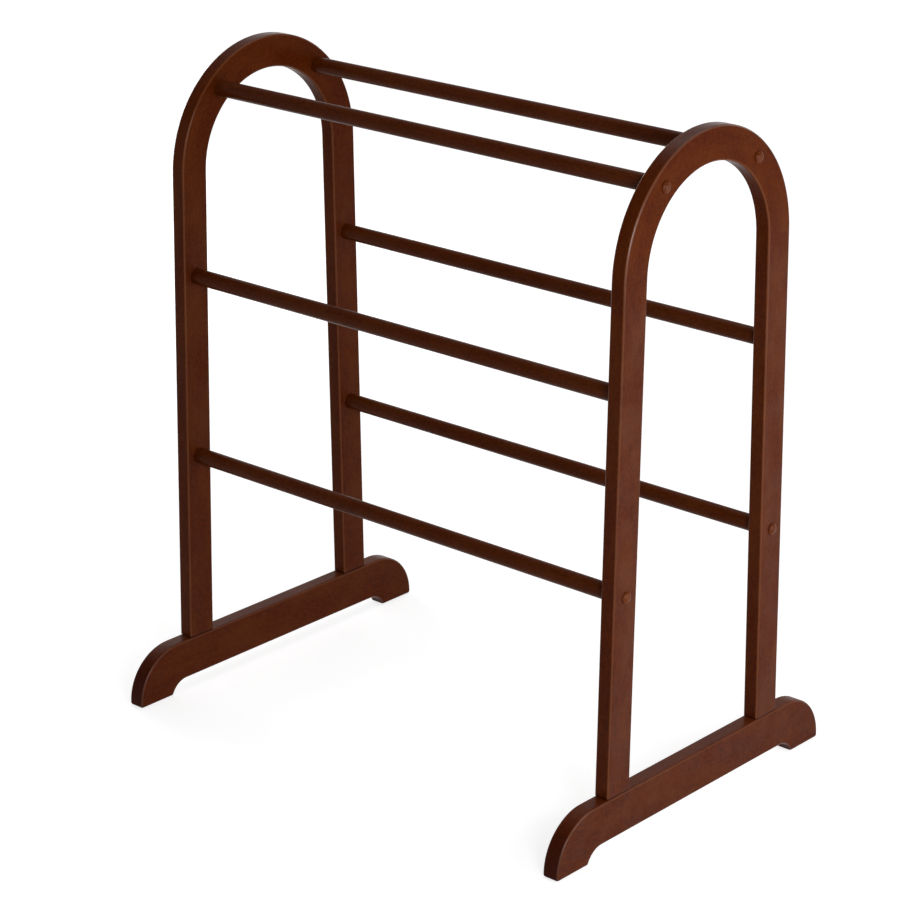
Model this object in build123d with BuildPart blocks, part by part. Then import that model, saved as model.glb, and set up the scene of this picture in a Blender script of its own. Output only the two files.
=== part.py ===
"""Quilt rack: two arched end frames tied together by three pairs of round rails.

Millimetres, +Z up. X runs along the rails, Y from front to back. The origin is on the floor
under the middle of the rack, and the front faces -Y.
"""
from build123d import *
from math import asin, atan2, cos, degrees, hypot, radians, sin, sqrt
import os

os.makedirs("parts", exist_ok=True)

# Overall sizes
rack_height = 775
frame_spread = 662  # across the outer faces of the posts of the two end frames

# End frame
post_thickness = 19
post_width = 38
arch_radius = 142  # to the outer edge
post_spread = 268  # between the centre lines of the posts where they meet the foot
edge_round = 3
post_foot_chamfer = 0.8

# Foot
foot_length = 474
foot_height = 64
foot_thickness = 21
foot_clearance = 15.5  # height of the raised underside
toe_pad_length = 52
toe_upright = 0.5  # straight front of a toe, between its curve and its pad corner
cove_radius = 24

# Rails
rail_diameter = 19
top_rail_angle = 50  # round the arch from level
middle_rail_drop = 120  # under the centre of the arch
lower_rail_rise = 229  # over the foot
screwed_seat_depth = 5
glued_seat_depth = 11
rail_end_chamfer = 0.8
seat_clearance = 0.1

# Dowel pins
pin_diameter = 8
pin_length = 40
pin_spacing = 18
pin_chamfer = 1
pin_clearance = 0.05
pin_end_space = 1

# Screws
screw_length = 40  # under the head
screw_diameter = 4.2
screw_point_length = 6
screw_head_height = 3
screw_head_rim = 1.5
screw_clearance = 0.1
screw_end_space = 2
recess_width = 1.1
recess_span = 4.6
recess_depth = 1.6

# Button plugs and the bores that hold a screw head under a plug
plug_bore_diameter = 10
plug_bore_depth = 8
head_clearance = 0.8  # round a screw head in its bore
tenon_clearance = 0.05
tenon_end_space = 0.4  # between a tenon and the screw head under it
plug_head_diameter = 13.5
plug_rim = 1.2
plug_height = 4.5

LEFT, RIGHT = -1, 1
FRONT, BACK = -1, 1
side_names = {LEFT: "left", RIGHT: "right"}
end_names = {FRONT: "front", BACK: "back"}

outer_face = frame_spread / 2
inner_face = outer_face - post_thickness
frame_middle = outer_face - post_thickness / 2

# The arch is a circle, and each post leans outward from where its line touches that circle
arch_centre = rack_height - arch_radius
line_radius = arch_radius - post_width / 2
drop_to_foot = arch_centre - foot_height
foot_reach = hypot(drop_to_foot, post_spread / 2)
lean = atan2(post_spread / 2, drop_to_foot) - asin(line_radius / foot_reach)
arch_end_height = arch_centre + line_radius * sin(lean)


def post_offset(height):
    """Distance from the middle plane to a post's centre line at a height."""
    return (line_radius + (arch_centre - height) * sin(lean)) / cos(lean)


top_rail_offset = line_radius * cos(radians(top_rail_angle))
top_rail_height = arch_centre + line_radius * sin(radians(top_rail_angle))
middle_rail_height = arch_centre - middle_rail_drop
lower_rail_height = foot_height + lower_rail_rise

# Each pair of rails: offset from the middle plane, height, and depth of its seats
rail_pairs = {
    "top": (top_rail_offset, top_rail_height, screwed_seat_depth),
    "middle": (post_offset(middle_rail_height), middle_rail_height, glued_seat_depth),
    "lower": (post_offset(lower_rail_height), lower_rail_height, screwed_seat_depth),
}
screwed_pairs = ("top", "lower")
screw_places = [
    (end * rail_pairs[pair][0], rail_pairs[pair][1]) for pair in screwed_pairs for end in (FRONT, BACK)
]


def frame_plane(side, thickness):
    """Upright plane on the -X face of an end frame piece of the given thickness."""
    return Plane.YZ.offset(side * frame_middle - thickness / 2)


def joint_plane(side, end, height):
    """Plane square to a post's centre line, at a height, with its normal up the post."""
    return Plane(
        origin=(side * frame_middle, end * post_offset(height), height),
        x_dir=(0, end * cos(lean), sin(lean)),
        z_dir=(0, -end * sin(lean), cos(lean)),
    )


def save(piece, label):
    """Name a finished piece and write its file."""
    piece.label = label
    export_step(piece, f"parts/{label}.step")


def cut_pin_bores(plane):
    """Cut the bores for a pair of dowel pins that cross a joint."""
    depth = pin_length / 2 + pin_end_space
    with BuildSketch(plane.offset(-depth)) as bores:
        with GridLocations(pin_spacing, 0, 2, 1):
            Circle(pin_diameter / 2 + pin_clearance)
    extrude(bores.sketch, amount=2 * depth, mode=Mode.SUBTRACT)


def drill(side, start, offset, height, diameter, depth):
    """Cut a round hole from x = start outward along X, away from the middle of the rack."""
    with BuildSketch(Plane.YZ.offset(side * start)) as hole:
        with Locations((offset, height)):
            Circle(diameter / 2)
    extrude(hole.sketch, amount=side * depth, mode=Mode.SUBTRACT)


def cut_rail_seat(side, end, pair):
    """Cut a rail's seat in the inner face and, where it is screwed, the stepped screw hole."""
    offset, height, seat_depth = rail_pairs[pair]
    offset = end * offset
    drill(side, inner_face, offset, height, rail_diameter + 2 * seat_clearance, seat_depth)
    if pair in screwed_pairs:
        drill(side, inner_face, offset, height, screw_diameter + 2 * screw_clearance, post_thickness)
        bore_floor = outer_face - plug_bore_depth
        drill(side, bore_floor, offset, height, plug_bore_diameter, plug_bore_depth)


def make_foot(side):
    """Foot board: round toes, a flat pad under each toe, and a raised, coved underside."""
    pad_corner_round = edge_round + 0.5  # over edge_round, as the rounded edges run round it
    toe_radius = foot_height - pad_corner_round - toe_upright
    cove_drop = cove_radius - foot_clearance
    cove_centre = foot_length / 2 - toe_pad_length - sqrt(cove_radius**2 - cove_drop**2)
    with BuildPart() as foot:
        with BuildSketch(frame_plane(side, foot_thickness)) as outline:
            Rectangle(foot_length, foot_height, align=(Align.CENTER, Align.MIN))
            fillet(outline.vertices().group_by(Axis.Y)[-1], toe_radius)
            with Locations((-cove_centre, -cove_drop), (cove_centre, -cove_drop)):
                Circle(cove_radius, mode=Mode.SUBTRACT)
            recess = (2 * cove_centre, foot_clearance)
            Rectangle(*recess, align=(Align.CENTER, Align.MIN), mode=Mode.SUBTRACT)
            fillet(outline.vertices().group_by(Axis.Y)[0], pad_corner_round)
        extrude(amount=foot_thickness)
        fillet(foot.faces().filter_by(Axis.X).edges(), edge_round)
        for end in (FRONT, BACK):
            cut_pin_bores(joint_plane(side, end, foot_height))
    save(foot.part, f"{side_names[side]}_foot")


def make_post(side, end):
    """Post: a straight leaning board, square-cut at the arch and cut level on the foot."""
    top = joint_plane(side, end, arch_end_height)
    top_inner = top.from_local_coords((-post_width / 2, 0))
    top_outer = top.from_local_coords((post_width / 2, 0))
    foot_middle = end * post_offset(foot_height)
    half_cut = end * post_width / 2 / cos(lean)
    with BuildPart() as post:
        with BuildSketch(frame_plane(side, post_thickness)):
            with BuildLine():
                Polyline(
                    (top_inner.Y, top_inner.Z),
                    (top_outer.Y, top_outer.Z),
                    (foot_middle + half_cut, foot_height),
                    (foot_middle - half_cut, foot_height),
                    close=True,
                )
            make_face()
        extrude(amount=post_thickness)
        fillet(post.edges().filter_by(lambda edge: edge.length > drop_to_foot / 2), edge_round)
        chamfer(post.faces().sort_by(Axis.Z)[0].edges(), post_foot_chamfer)
        cut_pin_bores(top)
        cut_pin_bores(joint_plane(side, end, foot_height))
        for pair in ("middle", "lower"):
            cut_rail_seat(side, end, pair)
    save(post.part, f"{side_names[side]}_{end_names[end]}_post")


def make_arch(side):
    """Arch: a little under half a ring, as wide and thick as the posts."""
    start = degrees(lean)
    sweep_angle = 180 - 2 * start
    centre = (0, arch_centre)
    with BuildPart() as arch:
        with BuildSketch(frame_plane(side, post_thickness)):
            with BuildLine():
                outer = CenterArc(centre, arch_radius, start, sweep_angle)
                inner = CenterArc(centre, arch_radius - post_width, start, sweep_angle)
                Line(outer @ 0, inner @ 0)
                Line(outer @ 1, inner @ 1)
            make_face()
        extrude(amount=post_thickness)
        fillet(arch.faces().filter_by(Axis.X).edges().filter_by(GeomType.CIRCLE), edge_round)
        for end in (FRONT, BACK):
            cut_pin_bores(joint_plane(side, end, arch_end_height))
            cut_rail_seat(side, end, "top")
    save(arch.part, f"{side_names[side]}_arch")


def make_rail(pair, end):
    """Rail: a round dowel that bottoms in its seats, bored at the ends where it is screwed."""
    offset, height, seat_depth = rail_pairs[pair]
    half_length = inner_face + seat_depth
    with BuildPart() as rail:
        with BuildSketch(Plane.YZ.offset(-half_length)):
            with Locations((end * offset, height)):
                Circle(rail_diameter / 2)
        extrude(amount=2 * half_length)
        chamfer(rail.edges().filter_by(GeomType.CIRCLE), rail_end_chamfer)
        if pair in screwed_pairs:
            seat_web = outer_face - plug_bore_depth - half_length
            depth = screw_length - seat_web + screw_end_space
            for side in (LEFT, RIGHT):
                hole = screw_diameter + 2 * screw_clearance
                drill(side, half_length - depth, end * offset, height, hole, depth)
    save(rail.part, f"{pair}_{end_names[end]}_rail")


def make_pins(side, joint, height):
    """Dowel pins of one end frame at one joint height, two to a post, with eased ends."""
    with BuildPart() as pins:
        for end in (FRONT, BACK):
            with BuildSketch(joint_plane(side, end, height).offset(-pin_length / 2)):
                with GridLocations(pin_spacing, 0, 2, 1):
                    Circle(pin_diameter / 2)
            extrude(amount=pin_length)
        chamfer(pins.edges().filter_by(GeomType.CIRCLE), pin_chamfer)
    save(pins.part, f"{side_names[side]}_{joint}_dowels")


def turn(side, place, depth, profile, crown):
    """Add a turned piece on a screwed rail's axis, at a depth under the outer face.

    The profile holds (outward, radius) points, and a dome closes it from the last one to the crown.
    """
    origin = (side * (outer_face - depth), *place)
    rim, rim_radius = profile[-1]
    rise = crown - rim
    dome_radius = (rim_radius**2 + rise**2) / (2 * rise)
    with BuildSketch(Plane(origin=origin, x_dir=(side, 0, 0), z_dir=(0, -side, 0))) as section:
        with BuildLine():
            Polyline((crown, 0), *profile)
            RadiusArc(profile[-1], (crown, 0), dome_radius, short_sagitta=True)
        make_face()
    revolve(section.sketch, axis=Axis(origin, (1, 0, 0)))


def make_screws(side):
    """Pan-head wood screws, heads on the bore floors and points in the rail ends."""
    shank = screw_diameter / 2
    head = plug_bore_diameter / 2 - head_clearance
    profile = [
        (-screw_length, 0),
        (screw_point_length - screw_length, shank),
        (0, shank),
        (0, head),
        (screw_head_rim, head),
    ]
    crown_face = side * (outer_face - plug_bore_depth + screw_head_height)
    with BuildPart() as screws:
        for place in screw_places:
            turn(side, place, plug_bore_depth, profile, screw_head_height)
            with Locations((crown_face, *place)):
                Box(2 * recess_depth, recess_span, recess_width, mode=Mode.SUBTRACT)
                Box(2 * recess_depth, recess_width, recess_span, mode=Mode.SUBTRACT)
    save(screws.part, f"{side_names[side]}_rail_screws")


def make_plugs(side):
    """Button plugs: a tenon in the screw bore under a thin rim and a low dome."""
    tenon = plug_bore_diameter / 2 - tenon_clearance
    tenon_length = plug_bore_depth - screw_head_height - tenon_end_space
    head = plug_head_diameter / 2
    profile = [(-tenon_length, 0), (-tenon_length, tenon), (0, tenon), (0, head), (plug_rim, head)]
    with BuildPart() as plugs:
        for place in screw_places:
            turn(side, place, 0, profile, plug_height)
    save(plugs.part, f"{side_names[side]}_button_plugs")


for side in (LEFT, RIGHT):
    make_foot(side)
    make_arch(side)
    for end in (FRONT, BACK):
        make_post(side, end)
    make_pins(side, "arch", arch_end_height)
    make_pins(side, "foot", foot_height)
    make_screws(side)
    make_plugs(side)

for pair in rail_pairs:
    for end in (FRONT, BACK):
        make_rail(pair, end)
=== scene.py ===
from math import asin, atan2, ceil, cos, degrees, hypot, pi, radians, sin, sqrt

import bmesh
import bpy
from mathutils import Matrix, Vector


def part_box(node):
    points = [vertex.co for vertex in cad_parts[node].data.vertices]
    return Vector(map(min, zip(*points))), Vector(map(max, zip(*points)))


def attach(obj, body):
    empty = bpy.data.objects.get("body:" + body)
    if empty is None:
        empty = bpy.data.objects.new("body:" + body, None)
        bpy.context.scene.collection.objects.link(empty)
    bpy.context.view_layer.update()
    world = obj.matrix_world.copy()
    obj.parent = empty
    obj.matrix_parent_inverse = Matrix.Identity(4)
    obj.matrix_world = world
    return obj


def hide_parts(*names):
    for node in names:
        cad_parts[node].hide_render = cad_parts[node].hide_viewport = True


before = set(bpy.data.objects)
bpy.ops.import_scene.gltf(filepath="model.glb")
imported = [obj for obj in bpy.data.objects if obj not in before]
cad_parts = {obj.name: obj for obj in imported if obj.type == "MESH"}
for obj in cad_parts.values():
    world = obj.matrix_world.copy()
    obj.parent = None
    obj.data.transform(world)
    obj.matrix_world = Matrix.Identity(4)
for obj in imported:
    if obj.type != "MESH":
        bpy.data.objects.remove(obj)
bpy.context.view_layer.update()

# The rack's sizes in metres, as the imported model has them
RACK_HEIGHT = 0.775
FRAME_SPREAD = 0.662
POST_THICKNESS = 0.019
POST_WIDTH = 0.038
ARCH_RADIUS = 0.142
POST_SPREAD = 0.268
EDGE_ROUND = 0.003
POST_FOOT_EASE = 0.0008
FOOT_LENGTH = 0.474
FOOT_HEIGHT = 0.064
FOOT_THICKNESS = 0.021
FOOT_CLEARANCE = 0.0155
TOE_PAD_LENGTH = 0.052
TOE_UPRIGHT = 0.0005
COVE_RADIUS = 0.024
PLUG_HEAD_DIAMETER = 0.0135
PLUG_TENON_DIAMETER = 0.0099
PLUG_TENON_LENGTH = 0.0046
PLUG_RIM = 0.0012
PLUG_HEIGHT = 0.0045
PLUG_EASE = 0.0003
TOP_RAIL_ANGLE = 50  # degrees round the arch from level
LOWER_RAIL_RISE = 0.229  # over the foot
RAIL_DIAMETER = 0.019

LEFT, RIGHT = -1, 1
FRONT, BACK = -1, 1
SIDES = {"left": LEFT, "right": RIGHT}
ENDS = {"front": FRONT, "back": BACK}
RAIL_PAIRS = ("top", "middle", "lower")

FRAME_MIDDLE = FRAME_SPREAD / 2 - POST_THICKNESS / 2
ARCH_CENTRE = RACK_HEIGHT - ARCH_RADIUS
LINE_RADIUS = ARCH_RADIUS - POST_WIDTH / 2  # of the arch's centre line
DROP_TO_FOOT = ARCH_CENTRE - FOOT_HEIGHT
# Each post leans so that it runs straight on from the arch and stands half the spread out on its foot
LINE_SLOPE = atan2(POST_SPREAD / 2, DROP_TO_FOOT)
LEAN = LINE_SLOPE - asin(LINE_RADIUS / hypot(DROP_TO_FOOT, POST_SPREAD / 2))
ARCH_END_HEIGHT = ARCH_CENTRE + LINE_RADIUS * sin(LEAN)

# How finely the pieces are made
BOARD_STEP = 0.006  # between a board's sections
RAIL_STEPS = 60
RAIL_FACETS = 64
EDGE_STEPS = 6  # round a board's edge
FOOT_STEP = 0.012  # along a foot's straight sides
TOE_STEPS = 24
COVE_STEPS = 14
FOOT_CORNER_ROUND = EDGE_ROUND + 0.0005  # must be more than the edge's, or the edge folds over
PLUG_FACETS = 48
DOME_STEPS = 14
MERGE_DISTANCE = 1e-6
PLUG_SHARP_ANGLE = 50  # degrees between faces from which an edge stays sharp

JOINT_EASE = 0.000015  # hairline where an arch meets a post
HAND_SANDING = 0.00012  # at most, between the highest and the lowest places
SANDING_WAVES = 21.0  # to the metre

# Camera, as fitted to the photograph
CAMERA_AZIMUTH = 41.67  # degrees round to the right from the front
CAMERA_ELEVATION = 20.37
CAMERA_DISTANCE = 3.38585
CAMERA_LEFT = 0.02317
CAMERA_DOWN = 0.04397
LENS = 119.15
SENSOR_WIDTH = 36

# Each wood's stain: where it sank deep, over most of it, and where it is worn thin
BOARD_STAINS = (0.072, 0.0104, 0.0014), (0.113, 0.0185, 0.0018), (0.184, 0.048, 0.007)
RAIL_STAINS = (0.066, 0.0105, 0.0006), (0.104, 0.0190, 0.0016), (0.150, 0.038, 0.008)
PLUG_STAINS = (0.090, 0.0150, 0.0010), (0.155, 0.0320, 0.0025), (0.210, 0.056, 0.008)
SOAK_AND_SEAM_SHADE = (0.042, 0.0048, 0.0008)  # end grain, where the stain gathers; in the seam at the foot it is painted shade as well as gathered stain
# painted reflection: the pale floor's sheen, mixed into the wood's colour low down
PAINTED_SHEEN = (0.46, 0.38, 0.33)
BEECH = (0.50, 0.33, 0.18), (0.66, 0.48, 0.30)
ZINC = (0.52, 0.53, 0.56), (0.70, 0.70, 0.71)

# Figure of the woods and the zinc, in marks to the metre along X, Y and Z
FIBRES = (30, 420, 420)
SPECKS = (230, 340, 340)
CLOUDS = (14, 34, 34)
PORES = (240, 1700, 1700)
LACQUER_PEEL = (260, 260, 260)
SMEARS = (9, 12, 12)
WORN_PATCHES = (16, 60, 60)
WISPS = 38.0
PIN_FLECKS = (900, 900, 90)
DRAWN_LINES = (120, 2500, 2500)

FIBRE_SHARE = 0.25  # of the stain's unevenness, and the specks have the rest
CLOUD_STRENGTH = 0.24
PORE_STRENGTH = 0.35
GRAIN_DEPTH = 0.00012
GRAIN_BUMP = 0.25
POLISH_ROUGHNESS = 0.3
LACQUER_SPECULAR = 0.03  # level of the plain lacquer, which the polish lies over

# Heights that the finish changes between
PAINTED_SHEEN_TOP = 0.56, 0.70  # the painted floor sheen thins out
FOOT_SEAM_SHADE = FOOT_HEIGHT + 0.0012, FOOT_HEIGHT + 0.0032  # the painted shade and gathered stain in the seam fade
HANDLED = 0.60, 0.68  # the polish left by hands begins


# Camera

def place_camera():
    """A long lens, 20 degrees above level, to the front right of the rack."""
    azimuth, elevation = radians(CAMERA_AZIMUTH), radians(CAMERA_ELEVATION)
    right = Vector((cos(azimuth), sin(azimuth), 0))
    back = Vector((sin(azimuth) * cos(elevation), -cos(azimuth) * cos(elevation), sin(elevation)))
    up = back.cross(right)
    middle = Vector((0, 0, RACK_HEIGHT / 2))
    place = middle + back * CAMERA_DISTANCE - right * CAMERA_LEFT - up * CAMERA_DOWN
    camera = bpy.data.objects.new("camera", bpy.data.cameras.new("camera"))
    camera.data.lens = LENS
    camera.data.sensor_width = SENSOR_WIDTH
    camera.matrix_world = Matrix.Translation(place) @ Matrix((right, up, back)).transposed().to_4x4()
    bpy.context.scene.collection.objects.link(camera)
    bpy.context.scene.camera = camera


# Node trees

def add_node(tree, kind, inputs=None, **settings):
    """Add a node with its settings, and give its inputs values or other nodes' outputs."""
    node = tree.nodes.new(kind)
    for name, value in settings.items():
        setattr(node, name, value)
    for name, value in (inputs or {}).items():
        if isinstance(value, bpy.types.NodeSocket):
            tree.links.new(value, node.inputs[name])
        else:
            node.inputs[name].default_value = value
    return node


def math(tree, operation, *values):
    """Result of a Math node."""
    return add_node(tree, "ShaderNodeMath", dict(enumerate(values)), operation=operation).outputs[0]


def product(tree, value, *factors):
    """A value multiplied by each of the factors."""
    for factor in factors:
        value = math(tree, "MULTIPLY", value, factor)
    return value


def remapped(tree, value, low, high, to_low=0.0, to_high=1.0):
    """A value stretched from one range to another, smoothly, and held at its ends."""
    inputs = {"Value": value, "From Min": low, "From Max": high, "To Min": to_low, "To Max": to_high}
    return add_node(tree, "ShaderNodeMapRange", inputs, interpolation_type="SMOOTHSTEP").outputs[0]


def noise(tree, place, marks, detail):
    """Noise with a number of marks to the metre, the same or its own along each axis."""
    if isinstance(marks, tuple):
        stretched = add_node(tree, "ShaderNodeVectorMath", {0: place, 1: marks}, operation="MULTIPLY")
        place, marks = stretched.outputs[0], 1.0
    inputs = {"Vector": place, "Scale": marks, "Detail": detail}
    return add_node(tree, "ShaderNodeTexNoise", inputs).outputs[0]


def blended(tree, share, first, second):
    """Mix of two colours."""
    node = add_node(tree, "ShaderNodeMix", {0: share}, data_type="RGBA")
    for socket, value in ((node.inputs[6], first), (node.inputs[7], second)):
        if isinstance(value, bpy.types.NodeSocket):
            tree.links.new(value, socket)
        else:
            socket.default_value = (*value, 1)
    return node.outputs[2]


def new_group(name, kind, inputs, outputs):
    """A node group with named sockets, its input node and its output node."""
    tree = bpy.data.node_groups.new(name, kind)
    for direction, sockets in (("INPUT", inputs), ("OUTPUT", outputs)):
        for socket_name, (socket_kind, default) in sockets.items():
            socket_type = "NodeSocket" + socket_kind
            socket = tree.interface.new_socket(socket_name, in_out=direction, socket_type=socket_type)
            if default is not None:
                socket.default_value = default
    return tree, tree.nodes.new("NodeGroupInput").outputs, tree.nodes.new("NodeGroupOutput").inputs


# Finishes

def stained_figure_group():
    """Specks, pores, fibres and soft blotches of a stained close-grained hardwood, under lacquer, with a
    painted sheen and painted seam shade mixed in where asked.

    Grain is in metres, with X along the fibres.
    """
    tree, given, made = new_group(
        "stained figure",
        "ShaderNodeTree",
        {
            "Grain": ("Vector", None),
            "Deep Stain": ("Color", (0.05, 0.008, 0.002, 1)),
            "Stain": ("Color", (0.09, 0.015, 0.003, 1)),
            "Worn Stain": ("Color", (0.15, 0.035, 0.008, 1)),
            "Rub": ("Float", 0.0),
            "Soak": ("Float", 0.0),
            "Haze": ("Float", 0.0),
            "Sheen Roughness": ("Float", 0.33),
        },
        {"Color": ("Color", None), "Roughness": ("Float", None), "Height": ("Float", None)},
    )
    fibres = noise(tree, given["Grain"], FIBRES, 3.0)
    specks = noise(tree, given["Grain"], SPECKS, 4.0)
    clouds = noise(tree, given["Grain"], CLOUDS, 3.0)
    pores = remapped(tree, noise(tree, given["Grain"], PORES, 1.0), 0.60, 0.70)
    peel = noise(tree, given["Grain"], LACQUER_PEEL, 1.0)
    smears = noise(tree, given["Grain"], SMEARS, 2.0)

    speck_part = product(tree, specks, 1 - FIBRE_SHARE)
    evenness = math(tree, "ADD", product(tree, fibres, FIBRE_SHARE), speck_part)
    colour = blended(tree, remapped(tree, evenness, 0.32, 0.68), given["Deep Stain"], given["Stain"])
    cloudy = remapped(tree, clouds, 0.35, 0.72, to_high=CLOUD_STRENGTH)
    colour = blended(tree, cloudy, colour, given["Worn Stain"])
    colour = blended(tree, product(tree, pores, PORE_STRENGTH), colour, given["Deep Stain"])
    colour = blended(tree, given["Rub"], colour, given["Worn Stain"])
    # end grain soaks up stain, and the seam at the foot gets painted shade
    colour = blended(tree, given["Soak"], colour, SOAK_AND_SEAM_SHADE)
    # painted reflection: a pale grey sheen mixed into the colour
    tree.links.new(blended(tree, given["Haze"], colour, PAINTED_SHEEN), made["Color"])

    smeared = remapped(tree, smears, 0.35, 0.65, -0.04, 0.05)
    roughness = math(tree, "ADD", given["Sheen Roughness"], smeared)
    tree.links.new(math(tree, "ADD", roughness, product(tree, pores, 0.08)), made["Roughness"])

    height = math(tree, "ADD", product(tree, peel, 0.6), product(tree, fibres, 0.25))
    tree.links.new(math(tree, "SUBTRACT", height, product(tree, pores, 0.25)), made["Height"])
    return tree


def round_edge_group():
    """What the finish does on a board's rounded edges, its end grain, its top and its seam at the foot.

    The stain is thin on the edges and deep in the end grain, and shade is painted into the seam at the
    foot. All edges have some polish, and the high ones that look away from the rack's middle have more,
    from hands.
    """
    tree, given, made = new_group(
        "round edge",
        "ShaderNodeTree",
        {
            "Grain": ("Vector", None),
            "Place": ("Vector", None),
            "Thinning": ("Float", 0.5),
            "End Grain": ("Float", 0.0),
            "Foot Seam": ("Float", 0.0),
            "High Polish": ("Float", 0.95),
            "Low Polish": ("Float", 0.35),
            "Top Polish": ("Float", 0.15),
        },
        {"Thin Stain": ("Float", None), "Soaked": ("Float", None), "Polish": ("Float", None)},
    )
    normal = add_node(tree, "ShaderNodeNewGeometry").outputs["Normal"]
    across, endward, upward = add_node(tree, "ShaderNodeSeparateXYZ", {0: normal}).outputs
    aside, endways, height = add_node(tree, "ShaderNodeSeparateXYZ", {0: given["Place"]}).outputs

    # A board's flat faces look along X or square to it, and only its rounded edges look between.
    # The turn is 0 on the faces and 1 half way round an edge
    squared = product(tree, across, across)
    turned = product(tree, squared, math(tree, "SUBTRACT", 1.0, squared), 4.0)
    edge = remapped(tree, turned, 0.15, 1.0)
    uneven = remapped(tree, noise(tree, given["Grain"], WORN_PATCHES, 2.0), 0.3, 0.6, 0.6, 1.0)
    tree.links.new(product(tree, edge, uneven, given["Thinning"]), made["Thin Stain"])

    ends = remapped(tree, math(tree, "ABSOLUTE", endward), 0.3, 0.9)
    # painted shade: darker on the posts just above the foot, in the seam, partly stain gathered there
    seam = product(tree, remapped(tree, height, *FOOT_SEAM_SHADE, 1.0, 0.0), given["Foot Seam"])
    tree.links.new(math(tree, "MULTIPLY_ADD", ends, given["End Grain"], seam), made["Soaked"])

    # Out along X from the frame, and out from the ring of posts and arch
    outward = remapped(tree, product(tree, across, aside), -0.1, 0.1)
    over_centre = math(tree, "MAXIMUM", math(tree, "SUBTRACT", height, ARCH_CENTRE), 0.0)
    away = math(tree, "MULTIPLY_ADD", upward, over_centre, product(tree, endward, endways))
    outside = product(tree, outward, remapped(tree, away, -0.02, 0.02))
    handled = product(tree, outside, remapped(tree, height, *HANDLED))
    gain = math(tree, "SUBTRACT", given["High Polish"], given["Low Polish"])
    polish = math(tree, "ADD", given["Low Polish"], product(tree, handled, gain))
    top = product(tree, remapped(tree, upward, 0.75, 0.98), given["Top Polish"])
    tree.links.new(math(tree, "MULTIPLY_ADD", edge, polish, top), made["Polish"])
    return tree


def painted_sheen_group():
    """Painted reflection of the pale floor: a grey sheen mixed into the colour of the lower rack's broad
    faces, thinner on the ones that look inward.
    """
    tree, given, made = new_group(
        "haze",
        "ShaderNodeTree",
        {"Place": ("Vector", None), "Amount": ("Float", 0.03)},
        {"Film": ("Float", None)},
    )
    aside, _, height = add_node(tree, "ShaderNodeSeparateXYZ", {0: given["Place"]}).outputs
    # the painted sheen is strongest low down, on faces that look along X and outward, where the floor's
    # reflection falls
    low_down = remapped(tree, height, *PAINTED_SHEEN_TOP, 1.0, 0.0)
    normal = add_node(tree, "ShaderNodeNewGeometry").outputs["Normal"]
    across = add_node(tree, "ShaderNodeSeparateXYZ", {0: normal}).outputs[0]
    outward = remapped(tree, product(tree, across, aside), -0.1, 0.1, 0.35, 1.0)
    broad = math(tree, "MULTIPLY_ADD", product(tree, across, across), 0.62, 0.38)
    uneven = remapped(tree, noise(tree, given["Place"], WISPS, 3.0), 0.3, 0.7, 0.6, 1.3)
    sheen_mask = product(tree, broad, outward, given["Amount"], uneven, low_down)
    tree.links.new(sheen_mask, made["Film"])
    return tree


def new_material(name):
    """A material with a fresh tree, and its Principled shader."""
    material = bpy.data.materials.new(name)
    material.use_nodes = True
    tree = material.node_tree
    tree.nodes.clear()
    shader = add_node(tree, "ShaderNodeBsdfPrincipled")
    output = add_node(tree, "ShaderNodeOutputMaterial", {"Surface": shader.outputs[0]})
    output.is_active_output = True
    return material, tree, shader


def object_place(tree):
    """Where a point is in the shared frame, because every piece's object is at the origin."""
    return add_node(tree, "ShaderNodeTexCoord").outputs["Object"]


def lacquered(name, stains, roughness, polish=0.0, edges=None, haze=0.0):
    """Stained and lacquered wood that reads a piece's own grain attribute.

    Boards have edges, with values for the round edge group, and a painted sheen, the floor's reflection
    painted into the colour. They take their polish from that group, and other wood has the same polish all
    over.
    """
    material, tree, shader = new_material(name)
    grain = add_node(tree, "ShaderNodeAttribute", attribute_name="grain").outputs["Vector"]
    look = {"Grain": grain, "Sheen Roughness": roughness}
    for layer, stain in zip(("Deep Stain", "Stain", "Worn Stain"), stains):
        look[layer] = (*stain, 1)
    shader.inputs["Coat Weight"].default_value = polish
    if edges:
        place = object_place(tree)
        worn = add_node(
            tree, "ShaderNodeGroup", {"Grain": grain, "Place": place, **edges}, node_tree=edge_group
        ).outputs
        sheen_mask = add_node(
            tree, "ShaderNodeGroup", {"Place": place, "Amount": haze}, node_tree=sheen_group
        ).outputs
        look["Rub"] = worn["Thin Stain"]
        look["Soak"] = worn["Soaked"]
        look["Haze"] = sheen_mask["Film"]
        tree.links.new(worn["Polish"], shader.inputs["Coat Weight"])
    figure = add_node(tree, "ShaderNodeGroup", look, node_tree=figure_group).outputs
    relief = {"Strength": GRAIN_BUMP, "Distance": GRAIN_DEPTH, "Height": figure["Height"]}
    bump = add_node(tree, "ShaderNodeBump", relief).outputs[0]
    tree.links.new(figure["Color"], shader.inputs["Base Color"])
    tree.links.new(figure["Roughness"], shader.inputs["Roughness"])
    tree.links.new(bump, shader.inputs["Normal"])
    shader.inputs["Coat Roughness"].default_value = POLISH_ROUGHNESS
    shader.inputs["Specular IOR Level"].default_value = LACQUER_SPECULAR
    return material


def bare_beech():
    """Pale beech of the hidden dowel pins, with short flecks along the pin."""
    material, tree, shader = new_material("bare_beech")
    flecks = noise(tree, object_place(tree), PIN_FLECKS, 3.0)
    tree.links.new(blended(tree, remapped(tree, flecks, 0.4, 0.65), *BEECH), shader.inputs["Base Color"])
    bump = add_node(tree, "ShaderNodeBump", {"Strength": 0.3, "Distance": 0.0001, "Height": flecks})
    tree.links.new(bump.outputs[0], shader.inputs["Normal"])
    shader.inputs["Roughness"].default_value = 0.7
    return material


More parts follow.
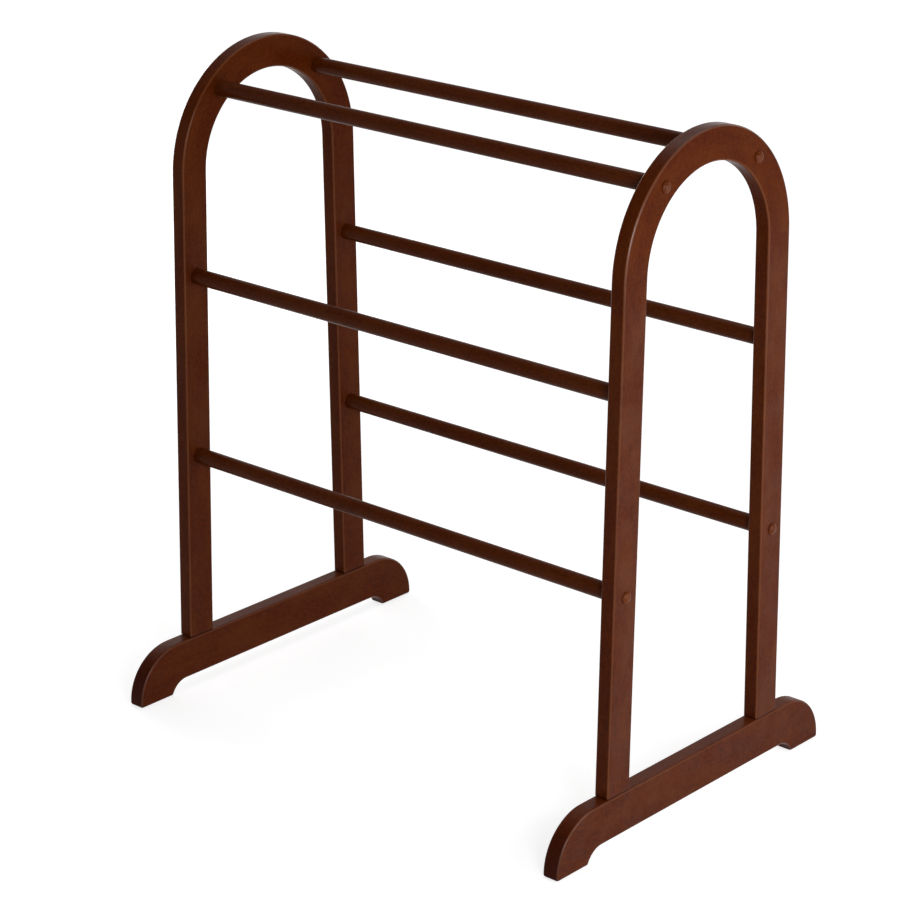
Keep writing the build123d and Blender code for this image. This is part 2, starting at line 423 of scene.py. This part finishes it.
def zinc_plate():
    """Bright zinc of the hidden wood screws, drawn along the shank."""
    material, tree, shader = new_material("zinc_plate")
    drawn = noise(tree, object_place(tree), DRAWN_LINES, 3.0)
    tree.links.new(blended(tree, drawn, *ZINC), shader.inputs["Base Color"])
    tree.links.new(remapped(tree, drawn, 0.3, 0.7, 0.24, 0.40), shader.inputs["Roughness"])
    shader.inputs["Metallic"].default_value = 1.0
    return material


# Pieces

def new_object(name, vertices, edges=(), faces=()):
    """An object at the origin with its place in its mesh, linked to the scene."""
    mesh = bpy.data.meshes.new(name)
    mesh.from_pydata(vertices, edges, faces)
    made = bpy.data.objects.new(name, mesh)
    bpy.context.scene.collection.objects.link(made)
    return made


def shaped(name, start, tree, values):
    """Run a Geometry Nodes tree on a starting mesh, and keep its result as a plain mesh."""
    piece = new_object(name, *start)
    modifier = piece.modifiers.new(tree.name, "NODES")
    modifier.node_group = tree
    for item in tree.interface.items_tree:
        if item.item_type == "SOCKET" and item.in_out == "INPUT" and item.name in values:
            modifier[item.identifier] = values[item.name]
    return settled(piece)


def settled(piece):
    """Bake a piece's modifiers, with the flat faces' normals kept flat beside the rounded edges."""
    smooth = piece.modifiers.new("flat face normals", "WEIGHTED_NORMAL")
    smooth.keep_sharp = True
    finished = bpy.data.meshes.new_from_object(piece.evaluated_get(bpy.context.evaluated_depsgraph_get()))
    piece.modifiers.clear()
    piece.data = finished
    finished.name = piece.name
    return piece


def grained(tree, geometry, along_grain, start=(0, 0, 0)):
    """Store where each point is in its own wood, for the finish to read.

    Its start gives a piece a patch of grain that no other piece has.
    """
    place = add_node(tree, "ShaderNodeVectorMath", {0: along_grain, 1: start}, operation="ADD").outputs[0]
    stored = {"Geometry": geometry, "Name": "grain", "Value": place}
    kind = {"data_type": "FLOAT_VECTOR", "domain": "POINT"}
    return add_node(tree, "GeometryNodeStoreNamedAttribute", stored, **kind).outputs[0]


def sanded(tree, geometry, amount, extra=0.0):
    """Move the surface out and in by the little that hand sanding leaves, and by an extra amount."""
    place = add_node(tree, "GeometryNodeInputPosition").outputs[0]
    waves = noise(tree, place, SANDING_WAVES, 1.0)
    depth = math(tree, "MULTIPLY_ADD", math(tree, "SUBTRACT", waves, 0.5), amount, extra)
    normal = add_node(tree, "GeometryNodeInputNormal").outputs[0]
    moved = {0: normal, "Scale": depth}
    offset = add_node(tree, "ShaderNodeVectorMath", moved, operation="SCALE").outputs[0]
    return add_node(tree, "GeometryNodeSetPosition", {"Geometry": geometry, "Offset": offset}).outputs[0]


def finish_off(tree, geometry, finish, result):
    """End a tree with one plain mesh in one finish."""
    geometry = add_node(tree, "GeometryNodeRealizeInstances", {0: geometry}).outputs[0]
    geometry = add_node(tree, "GeometryNodeSetMaterial", {0: geometry, "Material": finish}).outputs[0]
    tree.links.new(geometry, result)


def board_tree():
    """Board along a line: a rounded rectangle carried along it, eased at both ends."""
    tree, given, made = new_group(
        "board along a line",
        "GeometryNodeTree",
        {
            "Line": ("Geometry", None),
            "Width": ("Float", POST_WIDTH),
            "Thickness": ("Float", POST_THICKNESS),
            "Edge Round": ("Float", EDGE_ROUND),
            "Round Steps": ("Int", EDGE_STEPS),
            "Start Ease": ("Float", JOINT_EASE),
            "End Ease": ("Float", JOINT_EASE),
            "Sanding": ("Float", HAND_SANDING),
            "Grain Start": ("Vector", (0, 0, 0)),
            "Finish": ("Material", None),
        },
        {"Board": ("Geometry", None)},
    )
    line = add_node(tree, "GeometryNodeMeshToCurve", {0: given["Line"]}).outputs[0]
    along = add_node(tree, "GeometryNodeSplineParameter").outputs["Length"]
    whole = add_node(tree, "GeometryNodeSplineLength").outputs["Length"]
    kept_line = add_node(tree, "GeometryNodeCaptureAttribute", domain="POINT")
    for item_name, value in (("Along", along), ("Left Over", math(tree, "SUBTRACT", whole, along))):
        kept_line.capture_items.new("FLOAT", item_name)
        tree.links.new(value, kept_line.inputs[item_name])
    tree.links.new(line, kept_line.inputs[0])

    size = {"Width": given["Thickness"], "Height": given["Width"]}
    square = add_node(tree, "GeometryNodeCurvePrimitiveQuadrilateral", size)
    rounding = {"Curve": square.outputs[0], "Radius": given["Edge Round"], "Count": given["Round Steps"]}
    rounded = add_node(tree, "GeometryNodeFilletCurve", rounding, mode="POLY")
    kept_section = add_node(tree, "GeometryNodeCaptureAttribute", domain="POINT")
    kept_section.capture_items.new("VECTOR", "Section")
    tree.links.new(rounded.outputs[0], kept_section.inputs[0])
    tree.links.new(add_node(tree, "GeometryNodeInputPosition").outputs[0], kept_section.inputs["Section"])

    carried = {"Curve": kept_line.outputs[0], "Profile Curve": kept_section.outputs[0], "Fill Caps": True}
    board = add_node(tree, "GeometryNodeCurveToMesh", carried).outputs[0]
    through, across, _ = add_node(
        tree, "ShaderNodeSeparateXYZ", {0: kept_section.outputs["Section"]}
    ).outputs
    place = {0: kept_line.outputs["Along"], 1: across, 2: through}
    along_grain = add_node(tree, "ShaderNodeCombineXYZ", place).outputs[0]
    board = grained(tree, board, along_grain, given["Grain Start"])

    start = math(tree, "SUBTRACT", given["Start Ease"], kept_line.outputs["Along"])
    end = math(tree, "SUBTRACT", given["End Ease"], kept_line.outputs["Left Over"])
    drawn_in = math(tree, "MAXIMUM", math(tree, "MAXIMUM", start, 0.0), math(tree, "MAXIMUM", end, 0.0))
    # The normal at an end looks half way between the side and the cap
    ease = product(tree, drawn_in, -sqrt(2))
    finish_off(tree, sanded(tree, board, given["Sanding"], ease), given["Finish"], made["Board"])
    return tree


def round_rail_tree():
    """Round rail between two points, with a little hand-sanded unevenness."""
    tree, given, made = new_group(
        "round rail",
        "GeometryNodeTree",
        {
            "Line": ("Geometry", None),
            "Diameter": ("Float", RAIL_DIAMETER),
            "Facets": ("Int", RAIL_FACETS),
            "Sanding": ("Float", HAND_SANDING),
            "Grain Start": ("Vector", (0, 0, 0)),
            "Finish": ("Material", None),
        },
        {"Rail": ("Geometry", None)},
    )
    line = add_node(tree, "GeometryNodeMeshToCurve", {0: given["Line"]}).outputs[0]
    size = {"Resolution": given["Facets"], "Radius": product(tree, given["Diameter"], 0.5)}
    circle = add_node(tree, "GeometryNodeCurvePrimitiveCircle", size).outputs[0]
    carried = {"Curve": line, "Profile Curve": circle, "Fill Caps": True}
    rail = add_node(tree, "GeometryNodeCurveToMesh", carried).outputs[0]
    rail = grained(tree, rail, add_node(tree, "GeometryNodeInputPosition").outputs[0], given["Grain Start"])
    finish_off(tree, sanded(tree, rail, given["Sanding"]), given["Finish"], made["Rail"])
    return tree


def post_offset(height):
    """Distance from the middle plane to a post's centre line at a height."""
    return (LINE_RADIUS + (ARCH_CENTRE - height) * sin(LEAN)) / cos(LEAN)


def steps_along(length, start_ease, end_ease):
    """Distances along a board's line: its ends, its eases, and even steps between."""
    count = ceil(length / BOARD_STEP)
    middle = [length * step / count for step in range(1, count)]
    return [0, start_ease, *middle, length - end_ease, length]


def chained(points):
    """Vertices and edges of a line through points."""
    return points, [(step, step + 1) for step in range(len(points) - 1)]


def make_arch(side_name, tree, finish):
    """Arched top of an end frame, from the front post round to the back one."""
    side = SIDES[side_name]
    length = LINE_RADIUS * (pi - 2 * LEAN)
    points = []
    for along in steps_along(length, JOINT_EASE, JOINT_EASE):
        angle = LEAN + along / LINE_RADIUS
        height = ARCH_CENTRE + LINE_RADIUS * sin(angle)
        points.append((side * FRAME_MIDDLE, -LINE_RADIUS * cos(angle), height))
    values = {"Grain Start": (0.9 + side * 0.4, 0.31 * side, 0), "Finish": finish}
    return shaped(f"{side_name}_arch_board", chained(points), tree, values)


def make_post(side_name, end_name, tree, finish):
    """Post from its foot up to the arch's end, chamfered where it stands on the foot."""
    side, end = SIDES[side_name], ENDS[end_name]
    length = (ARCH_END_HEIGHT - FOOT_HEIGHT) / cos(LEAN)
    points = []
    for along in steps_along(length, POST_FOOT_EASE, JOINT_EASE):
        height = FOOT_HEIGHT + along * cos(LEAN)
        points.append((side * FRAME_MIDDLE, end * post_offset(height), height))
    values = {
        "Start Ease": POST_FOOT_EASE,
        "Grain Start": (2.0 + side * 0.7, 0.23 * end, 0.11 * side),
        "Finish": finish,
    }
    return shaped(f"{side_name}_{end_name}_post_board", chained(points), tree, values)


def make_rail(pair, end_name, tree, finish):
    """Round rail in the place and the size of its solid, with its own patch of grain."""
    low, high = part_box(f"{pair}_{end_name}_rail")
    middle = (low + high) / 2
    reach = high.x - low.x
    points = [(low.x + reach * step / RAIL_STEPS, middle.y, middle.z) for step in range(RAIL_STEPS + 1)]
    number = RAIL_PAIRS.index(pair) + len(RAIL_PAIRS) * (end_name == "back")
    values = {
        "Diameter": high.z - low.z,
        "Grain Start": (number * 1.3, number * 0.17, 0),
        "Finish": finish,
    }
    return shaped(f"{pair}_{end_name}_round_rail", chained(points), tree, values)


def outline_arc(centre, radius, start, end, steps, facing=1):
    """Points of an arc with the direction that faces out of the wood, facing = -1 in a hollow."""
    made = []
    for step in range(steps + 1):
        angle = radians(start + (end - start) * step / steps)
        out = Vector((cos(angle), sin(angle)))
        made.append((Vector(centre) + radius * out, out * facing))
    return made


def straight(first, last, out):
    """Evenly spaced points between two, left out themselves, on a straight side."""
    first, last = Vector(first), Vector(last)
    count = ceil((last - first).length / FOOT_STEP)
    return [(first.lerp(last, step / count), Vector(out)) for step in range(1, count)]


def foot_outline():
    """Half of a foot's outline, from the middle of its top over the back toe to the middle below."""
    corner = FOOT_CORNER_ROUND
    toe = FOOT_HEIGHT - corner - TOE_UPRIGHT
    half = FOOT_LENGTH / 2
    cove_drop = COVE_RADIUS - FOOT_CLEARANCE
    cove_reach = sqrt(COVE_RADIUS**2 - cove_drop**2)
    cove_middle = half - TOE_PAD_LENGTH - cove_reach
    # A corner rounded between the pad, at height 0, and the cove's circle
    to_corner = sqrt((COVE_RADIUS + corner) ** 2 - (cove_drop + corner) ** 2)
    corner_middle = cove_middle + to_corner
    touch = degrees(atan2(cove_drop + corner, to_corner))
    return [
        *straight((0, FOOT_HEIGHT), (half - toe, FOOT_HEIGHT), (0, 1)),
        *outline_arc((half - toe, FOOT_HEIGHT - toe), toe, 90, 0, TOE_STEPS),
        *outline_arc((half - corner, corner), corner, 0, -90, EDGE_STEPS),
        *straight((half - corner, 0), (corner_middle, 0), (0, -1)),
        *outline_arc((corner_middle, corner), corner, -90, -180 + touch, EDGE_STEPS),
        *outline_arc((cove_middle, -cove_drop), COVE_RADIUS, touch, 90, COVE_STEPS, -1)[1:],
        *straight((cove_middle, FOOT_CLEARANCE), (0, FOOT_CLEARANCE), (0, -1)),
    ]


def foot_sections():
    """Places across a foot's thickness, and how far its outline is drawn in there."""
    sections = []
    for face in (-1, 1):
        for step in range(EDGE_STEPS + 1):
            turn = radians(90 * (step if face == 1 else EDGE_STEPS - step) / EDGE_STEPS)
            across = face * (FOOT_THICKNESS / 2 - EDGE_ROUND * (1 - sin(turn)))
            sections.append((across, EDGE_ROUND * (1 - cos(turn))))
    return sections


def make_foot(side_name, finish):
    """Foot board: its outline carried through the thickness, drawn in at both faces' round edges."""
    side = SIDES[side_name]
    half = foot_outline()
    middle_top = (Vector((0, FOOT_HEIGHT)), Vector((0, 1)))
    middle_below = (Vector((0, FOOT_CLEARANCE)), Vector((0, -1)))
    mirrored = [(Vector((-point.x, point.y)), Vector((-out.x, out.y))) for point, out in reversed(half)]
    outline = [middle_top, *half, middle_below, *mirrored]
    sections = foot_sections()
    grain_start = 5 + side
    vertices, grain = [], []
    for across, inset in sections:
        for point, out in outline:
            y, z = point - out * inset
            vertices.append(Vector((side * FRAME_MIDDLE + across, y, z)))
            grain.append((y + grain_start, z, across))
    count = len(outline)
    faces = []
    for section in range(len(sections) - 1):
        low, high = section * count, (section + 1) * count
        for step in range(count):
            following = (step + 1) % count
            faces.append((low + step, high + step, high + following, low + following))
    faces.append(tuple(range(count)))
    faces.append(tuple(reversed(range(len(vertices) - count, len(vertices)))))
    piece = new_object(f"{side_name}_foot_board", vertices, faces=faces)
    stored = piece.data.attributes.new("grain", "FLOAT_VECTOR", "POINT")
    stored.data.foreach_set("vector", [number for place in grain for number in place])
    piece.data.materials.append(finish)
    piece.data.shade_smooth()
    return settled(piece)


def turned_plug():
    """One button plug about the X axis, from the end of its tenon over its rim to its dome."""
    head, tenon = PLUG_HEAD_DIAMETER / 2, PLUG_TENON_DIAMETER / 2
    rise = PLUG_HEIGHT - PLUG_RIM
    dome = (head**2 + rise**2) / (2 * rise)
    edge = asin(head / dome)
    profile = [(-PLUG_TENON_LENGTH, 0), (-PLUG_TENON_LENGTH, tenon), (0, tenon), (0, head - PLUG_EASE)]
    profile += [(PLUG_EASE, head), (PLUG_RIM - PLUG_EASE, head)]
    for step in range(1, DOME_STEPS + 1):
        angle = edge * (1 - step / DOME_STEPS)
        profile.append((PLUG_HEIGHT - dome * (1 - cos(angle)), dome * sin(angle)))
    vertices, edges = chained([(outward, 0, radius) for outward, radius in profile])
    plug = new_object("turned_plug", vertices, edges)
    lathe = plug.modifiers.new("lathe", "SCREW")
    lathe.axis = "X"
    lathe.steps = lathe.render_steps = PLUG_FACETS
    lathe.use_merge_vertices = True
    lathe.merge_threshold = MERGE_DISTANCE
    settled(plug)
    shape = bmesh.new()
    shape.from_mesh(plug.data)
    bmesh.ops.remove_doubles(shape, verts=shape.verts, dist=MERGE_DISTANCE)
    bmesh.ops.recalc_face_normals(shape, faces=shape.faces)
    shape.to_mesh(plug.data)
    shape.free()
    plug.data.shade_smooth()
    plug.data.set_sharp_from_angle(angle=radians(PLUG_SHARP_ANGLE))
    return plug


def plugs_tree():
    """A turned plug at each of its places, with its own patch of grain there."""
    tree, given, made = new_group(
        "plugs in their places",
        "GeometryNodeTree",
        {
            "Places": ("Geometry", None),
            "Plug": ("Object", None),
            "Turn": ("Vector", (0, 0, 0)),
            "Finish": ("Material", None),
        },
        {"Plugs": ("Geometry", None)},
    )
    plug = add_node(tree, "GeometryNodeObjectInfo", {"Object": given["Plug"]}).outputs["Geometry"]
    turn = add_node(tree, "FunctionNodeEulerToRotation", {0: given["Turn"]}).outputs[0]
    placed = {"Points": given["Places"], "Instance": plug, "Rotation": turn}
    plugs = add_node(tree, "GeometryNodeInstanceOnPoints", placed).outputs[0]
    plugs = add_node(tree, "GeometryNodeRealizeInstances", {0: plugs}).outputs[0]
    plugs = grained(tree, plugs, add_node(tree, "GeometryNodeInputPosition").outputs[0])
    finish_off(tree, plugs, given["Finish"], made["Plugs"])
    return tree


def make_plugs(side_name, plug, tree, finish):
    """Button plugs of one end frame, over the screws into the top and lower rails."""
    side = SIDES[side_name]
    angle = radians(TOP_RAIL_ANGLE)
    lower_height = FOOT_HEIGHT + LOWER_RAIL_RISE
    top_place = (LINE_RADIUS * cos(angle), ARCH_CENTRE + LINE_RADIUS * sin(angle))
    lower_place = (post_offset(lower_height), lower_height)
    places = [
        (side * FRAME_SPREAD / 2, end * offset, height)
        for offset, height in (top_place, lower_place)
        for end in (FRONT, BACK)
    ]
    values = {"Plug": plug, "Turn": (0, 0, 0 if side == RIGHT else pi), "Finish": finish}
    return shaped(f"{side_name}_turned_plugs", (places,), tree, values)


# Studio

def add_lamp(name, place, aim, size, power):
    """Square softbox, with its size in metres and its power in watts, that the camera doesn't see."""
    lamp = bpy.data.lights.new(name, "AREA")
    lamp.size = size
    lamp.energy = power
    made = bpy.data.objects.new(name, lamp)
    made.location = place
    made.rotation_euler = (Vector(aim) - Vector(place)).to_track_quat("-Z", "Y").to_euler()
    made.visible_camera = False
    bpy.context.scene.collection.objects.link(made)


def seen_rays(tree):
    """1 where the eye or a gloss looks at the studio, 0 for the light that it gives."""
    path = add_node(tree, "ShaderNodeLightPath").outputs
    through = math(tree, "MAXIMUM", path["Is Glossy Ray"], path["Is Transmission Ray"])
    return math(tree, "MAXIMUM", path["Is Camera Ray"], through)


def make_floor():
    """Plain pale floor that looks white right out to the horizon, and keeps the rack's soft shadow."""
    reach = 40
    grey = 0.62
    corners = [(-reach, -reach, 0), (reach, -reach, 0), (reach, reach, 0), (-reach, reach, 0)]
    floor = new_object("studio_floor", corners, faces=[(0, 1, 2, 3)])
    material, tree, shader = new_material("studio_floor")
    shader.inputs["Base Color"].default_value = (grey, grey, grey, 1)
    shader.inputs["Roughness"].default_value = 0.9
    shader.inputs["Specular IOR Level"].default_value = 0.0
    shader.inputs["Emission Color"].default_value = (1, 1, 1, 1)
    distance = add_node(tree, "ShaderNodeVectorMath", {0: object_place(tree)}, operation="LENGTH")
    near, far = 0.6, 3.0
    glow = remapped(tree, distance.outputs["Value"], near, far, 0.72, 0.92)
    tree.links.new(product(tree, seen_rays(tree), glow), shader.inputs["Emission Strength"])
    floor.data.materials.append(material)


def light_studio():
    """Softboxes for the frames' faces, their edges, the tops and the back, in a pale sweep."""
    add_lamp("side softbox", place=(1.20, 0.15, 0.52), aim=(0.2, 0, 0.42), size=0.7, power=5)
    add_lamp("front softbox", place=(2.36, -1.62, 1.36), aim=(0.2, 0, 0.5), size=0.8, power=28)
    add_lamp("overhead softbox", place=(-0.3, 0.8, 2.6), aim=(0, 0, 0.2), size=1.6, power=14)
    add_lamp("rear fill", place=(-2.5, 0.6, 0.6), aim=(0, 0, 0.4), size=1.4, power=30)
    world = bpy.data.worlds.new("studio sweep")
    world.use_nodes = True
    tree = world.node_tree
    tree.nodes.clear()
    direction = add_node(tree, "ShaderNodeTexCoord").outputs["Generated"]
    height = add_node(tree, "ShaderNodeSeparateXYZ", {0: direction}).outputs[2]
    seen = remapped(tree, height, 0.2, 0.6, 1.0, 0.4)
    given_off = 0.15
    extra = math(tree, "SUBTRACT", seen, given_off)
    strength = math(tree, "MULTIPLY_ADD", seen_rays(tree), extra, given_off)
    background = add_node(tree, "ShaderNodeBackground", {"Color": (1, 1, 1, 1), "Strength": strength})
    add_node(tree, "ShaderNodeOutputWorld", {"Surface": background.outputs[0]})
    bpy.context.scene.world = world


place_camera()

figure_group = stained_figure_group()
edge_group = round_edge_group()
sheen_group = painted_sheen_group()
frame_edges = {"Thinning": 0.6, "Foot Seam": 0.8, "High Polish": 1.0, "Low Polish": 0.3, "Top Polish": 0.15}
foot_edges = {"Thinning": 0.3, "End Grain": 0.8, "High Polish": 0.5, "Low Polish": 0.5, "Top Polish": 0.17}
frame_finish = lacquered("stained_frames", BOARD_STAINS, roughness=0.30, edges=frame_edges, haze=0.034)
foot_finish = lacquered("stained_feet", BOARD_STAINS, roughness=0.34, edges=foot_edges, haze=0.024)
rail_finish = lacquered("stained_rails", RAIL_STAINS, roughness=0.32, polish=0.04)
plug_finish = lacquered("stained_plugs", PLUG_STAINS, roughness=0.28, polish=0.22)

board = board_tree()
round_rail = round_rail_tree()
plugs = plugs_tree()
plug = turned_plug()
for side_name in SIDES:
    pieces = [
        (make_arch(side_name, board, frame_finish), f"{side_name}_arch", "frame_wood"),
        (make_foot(side_name, foot_finish), f"{side_name}_foot", "frame_wood"),
        (make_plugs(side_name, plug, plugs, plug_finish), f"{side_name}_button_plugs", "plug_wood"),
    ]
    for end_name in ENDS:
        post = make_post(side_name, end_name, board, frame_finish)
        pieces.append((post, f"{side_name}_{end_name}_post", "frame_wood"))
    for piece, node_name, slot in pieces:
        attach(piece, "root")
        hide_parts(node_name)

for pair in RAIL_PAIRS:
    for end_name in ENDS:
        rail = make_rail(pair, end_name, round_rail, rail_finish)
        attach(rail, "root")
        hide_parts(f"{pair}_{end_name}_rail")

bpy.data.objects.remove(plug)

# The pins and the screws keep the meshes of their solids
hidden = {"dowels": bare_beech(), "screws": zinc_plate()}
for node_name, cad_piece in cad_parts.items():
    for ending, finish in hidden.items():
        if node_name.endswith(ending):
            cad_piece.material_slots[0].material = finish

make_floor()
light_studio()
bpy.context.scene.view_settings.view_transform = "Standard"
